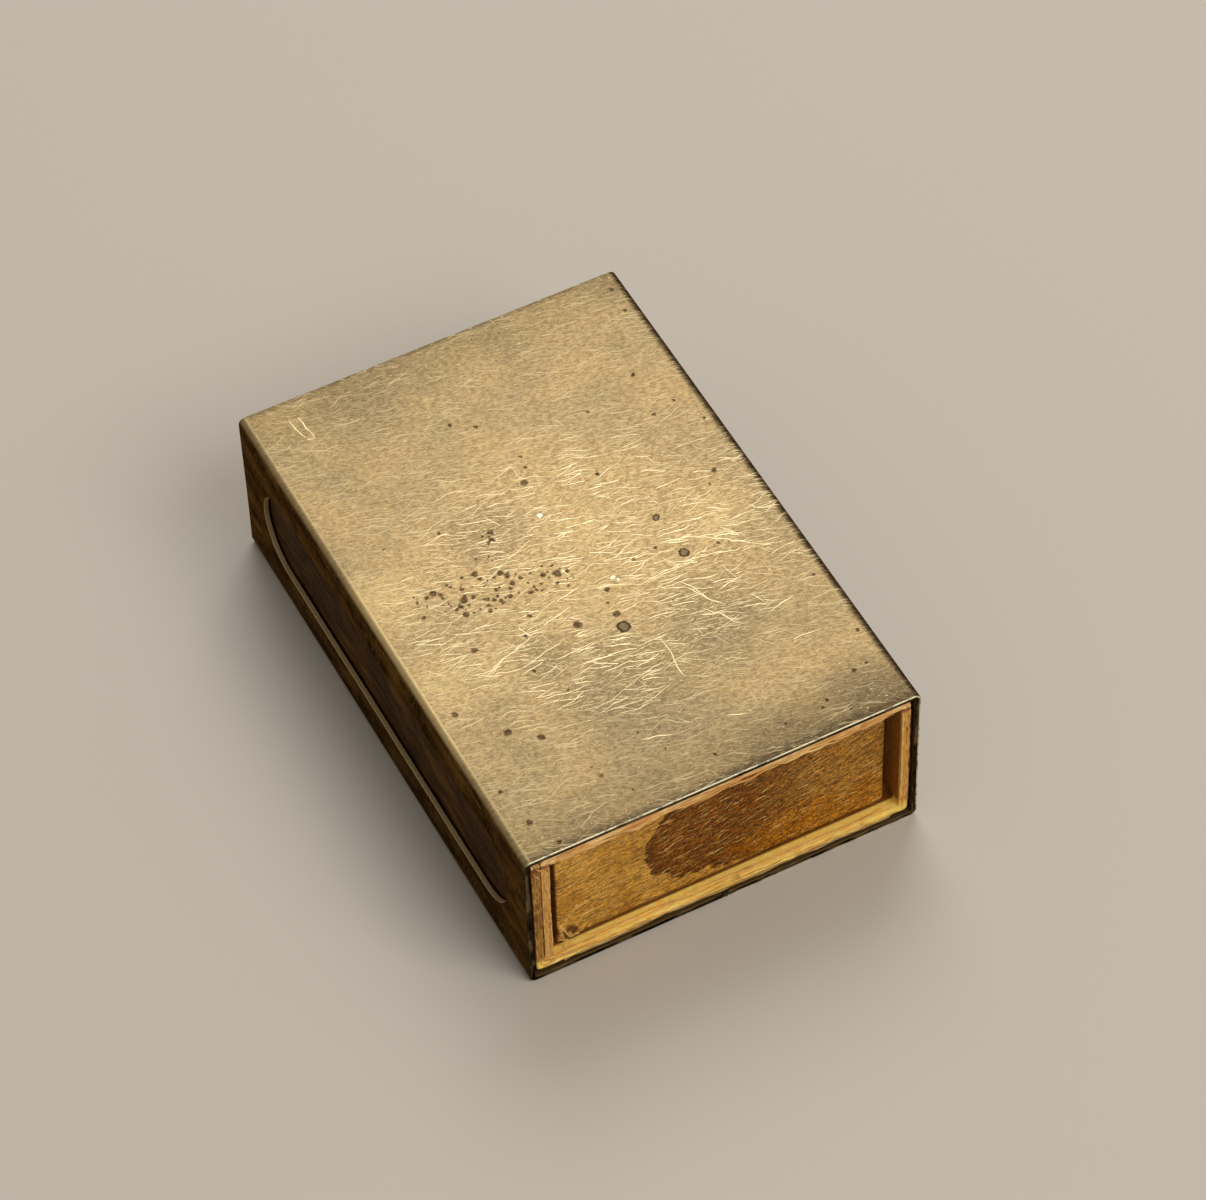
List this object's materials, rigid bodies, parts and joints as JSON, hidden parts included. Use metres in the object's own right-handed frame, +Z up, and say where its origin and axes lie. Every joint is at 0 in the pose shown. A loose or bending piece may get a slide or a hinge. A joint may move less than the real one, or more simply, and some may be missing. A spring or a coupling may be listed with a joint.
{
  "type": "matchbox holder",
  "caption": "Open-ended folded brass sleeve with a rounded striking window in each long side, holding a sliding wooden matchbox with its tray and matches.",
  "frame": {"origin": "middle of the holder's footprint, on its underside", "axes": "+X across the width, +Y along the length, away from the end that the picture shows, +Z up"},
  "size_m": [0.0372, 0.055, 0.0165],
  "materials": {
    "aged_brass": "satin, aged and scratched",
    "solder": "dull grey soft solder",
    "box_veneer": "aged amber wood veneer, fibrous torn ends",
    "striker_coat": "fine gritty dark brown friction coat",
    "label_paper": "matte aged paper, blank",
    "tray_veneer": "matte aged wood veneer",
    "tray_paper": "stained amber paper with a slight sheen",
    "match_splint": "matte split softwood",
    "match_head": "matte dark red-brown dried paste"
  },
  "bodies": {
    "cover": {"cover_shell": "aged_brass", "seam_solder": "solder"},
    "slipcase": {"label_bottom": "label_paper", "label_top": "label_paper", "slipcase_veneer": "box_veneer", "striker_left": "striker_coat", "striker_right": "striker_coat"},
    "tray": {"loose_match_1_head": "match_head", "loose_match_1_stick": "match_splint", "loose_match_2_head": "match_head", "loose_match_2_stick": "match_splint", "loose_match_3_head": "match_head", "loose_match_3_stick": "match_splint", "loose_match_4_head": "match_head", "loose_match_4_stick": "match_splint", "loose_match_5_head": "match_head", "loose_match_5_stick": "match_splint", "loose_match_6_head": "match_head", "loose_match_6_stick": "match_splint", "match_heads_layer_1": "match_head", "match_heads_layer_2": "match_head", "match_heads_layer_3": "match_head", "match_sticks_layer_1": "match_splint", "match_sticks_layer_2": "match_splint", "match_sticks_layer_3": "match_splint", "tray_floor": "tray_veneer", "tray_paper": "tray_paper", "tray_rim": "tray_veneer"}
  },
  "joints": [
    {"name": "matchbox_slide", "type": "slide", "parent": "cover", "child": "slipcase", "axis": [0, 1, 0], "range_m": [-0.049, 0.05]},
    {"name": "tray_slide", "type": "slide", "parent": "slipcase", "child": "tray", "axis": [0, 1, 0], "range_m": [-0.045, 0.045]}
  ]
}
